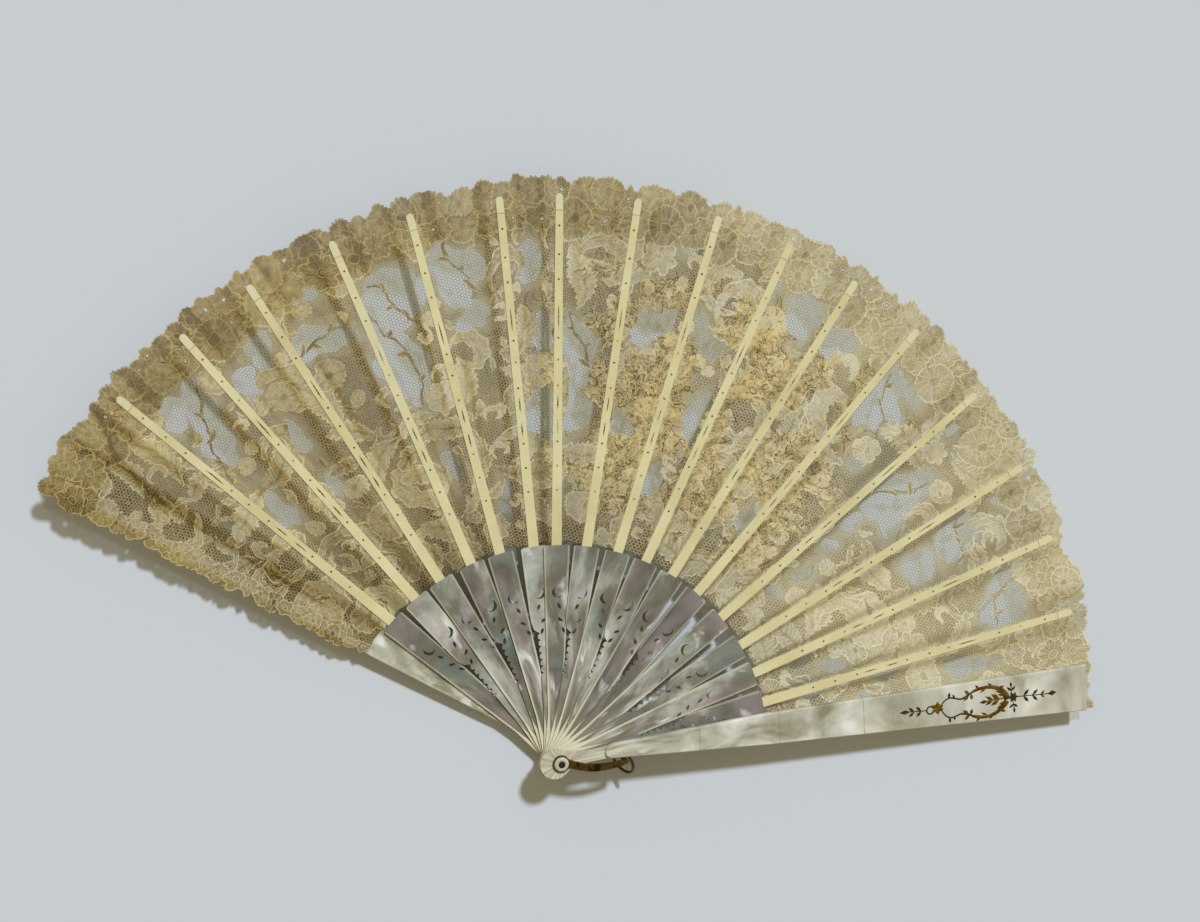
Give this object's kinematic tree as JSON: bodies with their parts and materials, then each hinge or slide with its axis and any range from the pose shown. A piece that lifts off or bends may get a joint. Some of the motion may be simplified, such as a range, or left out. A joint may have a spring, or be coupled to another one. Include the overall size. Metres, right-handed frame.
{
  "type": "folding fan",
  "caption": "Antique folding hand fan with a pleated lace leaf on bone ribs, pierced mother-of-pearl sticks, two plain pearl guards, a pivot pin and a brass bail with a ring.",
  "frame": {"origin": "rear end of the pivot pin, on the pin's own axis", "axes": "+X to the right of the open fan, along its spread; +Y from the pivot up to the middle of the lace leaf; +Z along the pivot pin, from the rear guard to the front guard"},
  "size_m": [0.5106, 0.2773, 0.0266],
  "materials": {
    "pearl_guard": "polished white mother-of-pearl",
    "pearl_stick": "polished grey mother-of-pearl with a pink and green sheen",
    "ivory_bone": "satin yellowed bone",
    "lace": "ecru needle and bobbin lace on a fine hexagonal net",
    "gilt_brass": "worn gilt brass",
    "dark_steel": "dulled steel wire"
  },
  "bodies": {
    "rear_guard": {"rear_guard": "pearl_guard", "leaf_panel_00": "lace", "pivot_pin": "dark_steel", "rear_washer": "pearl_guard", "front_washer": "pearl_guard"},
    "stick_01": {"pearl_stick_01": "pearl_stick", "rib_01": "ivory_bone", "leaf_panel_01": "lace"},
    "stick_02": {"pearl_stick_02": "pearl_stick", "rib_02": "ivory_bone", "leaf_panel_02": "lace"},
    "stick_03": {"pearl_stick_03": "pearl_stick", "rib_03": "ivory_bone", "leaf_panel_03": "lace"},
    "stick_04": {"pearl_stick_04": "pearl_stick", "rib_04": "ivory_bone", "leaf_panel_04": "lace"},
    "stick_05": {"pearl_stick_05": "pearl_stick", "rib_05": "ivory_bone", "leaf_panel_05": "lace"},
    "stick_06": {"pearl_stick_06": "pearl_stick", "rib_06": "ivory_bone", "leaf_panel_06": "lace"},
    "stick_07": {"pearl_stick_07": "pearl_stick", "rib_07": "ivory_bone", "leaf_panel_07": "lace"},
    "stick_08": {"pearl_stick_08": "pearl_stick", "rib_08": "ivory_bone", "leaf_panel_08": "lace"},
    "stick_09": {"pearl_stick_09": "pearl_stick", "rib_09": "ivory_bone", "leaf_panel_09": "lace"},
    "stick_10": {"pearl_stick_10": "pearl_stick", "rib_10": "ivory_bone", "leaf_panel_10": "lace"},
    "stick_11": {"pearl_stick_11": "pearl_stick", "rib_11": "ivory_bone", "leaf_panel_11": "lace"},
    "stick_12": {"pearl_stick_12": "pearl_stick", "rib_12": "ivory_bone", "leaf_panel_12": "lace"},
    "stick_13": {"pearl_stick_13": "pearl_stick", "rib_13": "ivory_bone", "leaf_panel_13": "lace"},
    "stick_14": {"pearl_stick_14": "pearl_stick", "rib_14": "ivory_bone", "leaf_panel_14": "lace"},
    "stick_15": {"pearl_stick_15": "pearl_stick", "rib_15": "ivory_bone", "leaf_panel_15": "lace"},
    "stick_16": {"pearl_stick_16": "pearl_stick", "rib_16": "ivory_bone", "leaf_panel_16": "lace"},
    "front_guard": {"front_guard": "pearl_guard", "leaf_panel_17": "lace"},
    "bail": {"bail": "gilt_brass"},
    "ring": {"bail_ring": "gilt_brass"}
  },
  "joints": [
    {"name": "fold_01", "type": "hinge", "parent": "rear_guard", "child": "stick_01", "pos_m": [0, 0, 0], "axis": [0, 0, 1], "range_deg": [0, 8], "deforming": ["leaf_panel_00"]},
    {"name": "fold_02", "type": "hinge", "parent": "stick_01", "child": "stick_02", "pos_m": [0, 0, 0], "axis": [0, 0, 1], "range_deg": [0, 8.67], "deforming": ["leaf_panel_01"]},
    {"name": "fold_03", "type": "hinge", "parent": "stick_02", "child": "stick_03", "pos_m": [0, 0, 0], "axis": [0, 0, 1], "range_deg": [0, 8.16], "deforming": ["leaf_panel_02"]},
    {"name": "fold_04", "type": "hinge", "parent": "stick_03", "child": "stick_04", "pos_m": [0, 0, 0], "axis": [0, 0, 1], "range_deg": [0, 9.18], "deforming": ["leaf_panel_03"]},
    {"name": "fold_05", "type": "hinge", "parent": "stick_04", "child": "stick_05", "pos_m": [0, 0, 0], "axis": [0, 0, 1], "range_deg": [0, 8.16], "deforming": ["leaf_panel_04"]},
    {"name": "fold_06", "type": "hinge", "parent": "stick_05", "child": "stick_06", "pos_m": [0, 0, 0], "axis": [0, 0, 1], "range_deg": [0, 9.18], "deforming": ["leaf_panel_05"]},
    {"name": "fold_07", "type": "hinge", "parent": "stick_06", "child": "stick_07", "pos_m": [0, 0, 0], "axis": [0, 0, 1], "range_deg": [0, 6.12], "deforming": ["leaf_panel_06"]},
    {"name": "fold_08", "type": "hinge", "parent": "stick_07", "child": "stick_08", "pos_m": [0, 0, 0], "axis": [0, 0, 1], "range_deg": [0, 8.16], "deforming": ["leaf_panel_07"]},
    {"name": "fold_09", "type": "hinge", "parent": "stick_08", "child": "stick_09", "pos_m": [0, 0, 0], "axis": [0, 0, 1], "range_deg": [0, 8.67], "deforming": ["leaf_panel_08"]},
    {"name": "fold_10", "type": "hinge", "parent": "stick_09", "child": "stick_10", "pos_m": [0, 0, 0], "axis": [0, 0, 1], "range_deg": [0, 8.16], "deforming": ["leaf_panel_09"]},
    {"name": "fold_11", "type": "hinge", "parent": "stick_10", "child": "stick_11", "pos_m": [0, 0, 0], "axis": [0, 0, 1], "range_deg": [0, 8.16], "deforming": ["leaf_panel_10"]},
    {"name": "fold_12", "type": "hinge", "parent": "stick_11", "child": "stick_12", "pos_m": [0, 0, 0], "axis": [0, 0, 1], "range_deg": [0, 8.67], "deforming": ["leaf_panel_11"]},
    {"name": "fold_13", "type": "hinge", "parent": "stick_12", "child": "stick_13", "pos_m": [0, 0, 0], "axis": [0, 0, 1], "range_deg": [0, 9.69], "deforming": ["leaf_panel_12"]},
    {"name": "fold_14", "type": "hinge", "parent": "stick_13", "child": "stick_14", "pos_m": [0, 0, 0], "axis": [0, 0, 1], "range_deg": [0, 9.69], "deforming": ["leaf_panel_13"]},
    {"name": "fold_15", "type": "hinge", "parent": "stick_14", "child": "stick_15", "pos_m": [0, 0, 0], "axis": [0, 0, 1], "range_deg": [0, 8.67], "deforming": ["leaf_panel_14"]},
    {"name": "fold_16", "type": "hinge", "parent": "stick_15", "child": "stick_16", "pos_m": [0, 0, 0], "axis": [0, 0, 1], "range_deg": [0, 8.67], "deforming": ["leaf_panel_15"]},
    {"name": "fold_17", "type": "hinge", "parent": "stick_16", "child": "front_guard", "pos_m": [0, 0, 0], "axis": [0, 0, 1], "range_deg": [0, 8.67], "deforming": ["leaf_panel_16"]},
    {"name": "bail_swing", "type": "hinge", "parent": "rear_guard", "child": "bail", "pos_m": [0, 0, 0], "axis": [0, 0, 1], "range_deg": [-150, 0]},
    {"name": "ring_swing", "type": "hinge", "parent": "bail", "child": "ring", "pos_m": [0.02991, 0.00698, 0.01328], "axis": [0, 0, 1], "range_deg": [-60, 60]}
  ],
  "couplings": [
    {"joint": "fold_02", "follows": "fold_01", "ratio": 1.0625},
    {"joint": "fold_03", "follows": "fold_01", "ratio": 1},
    {"joint": "fold_04", "follows": "fold_01", "ratio": 1.125},
    {"joint": "fold_05", "follows": "fold_01", "ratio": 1},
    {"joint": "fold_06", "follows": "fold_01", "ratio": 1.125},
    {"joint": "fold_07", "follows": "fold_01", "ratio": 0.75},
    {"joint": "fold_08", "follows": "fold_01", "ratio": 1},
    {"joint": "fold_09", "follows": "fold_01", "ratio": 1.0625},
    {"joint": "fold_10", "follows": "fold_01", "ratio": 1},
    {"joint": "fold_11", "follows": "fold_01", "ratio": 1},
    {"joint": "fold_12", "follows": "fold_01", "ratio": 1.0625},
    {"joint": "fold_13", "follows": "fold_01", "ratio": 1.1875},
    {"joint": "fold_14", "follows": "fold_01", "ratio": 1.1875},
    {"joint": "fold_15", "follows": "fold_01", "ratio": 1.0625},
    {"joint": "fold_16", "follows": "fold_01", "ratio": 1.0625},
    {"joint": "fold_17", "follows": "fold_01", "ratio": 1.0625}
  ]
}
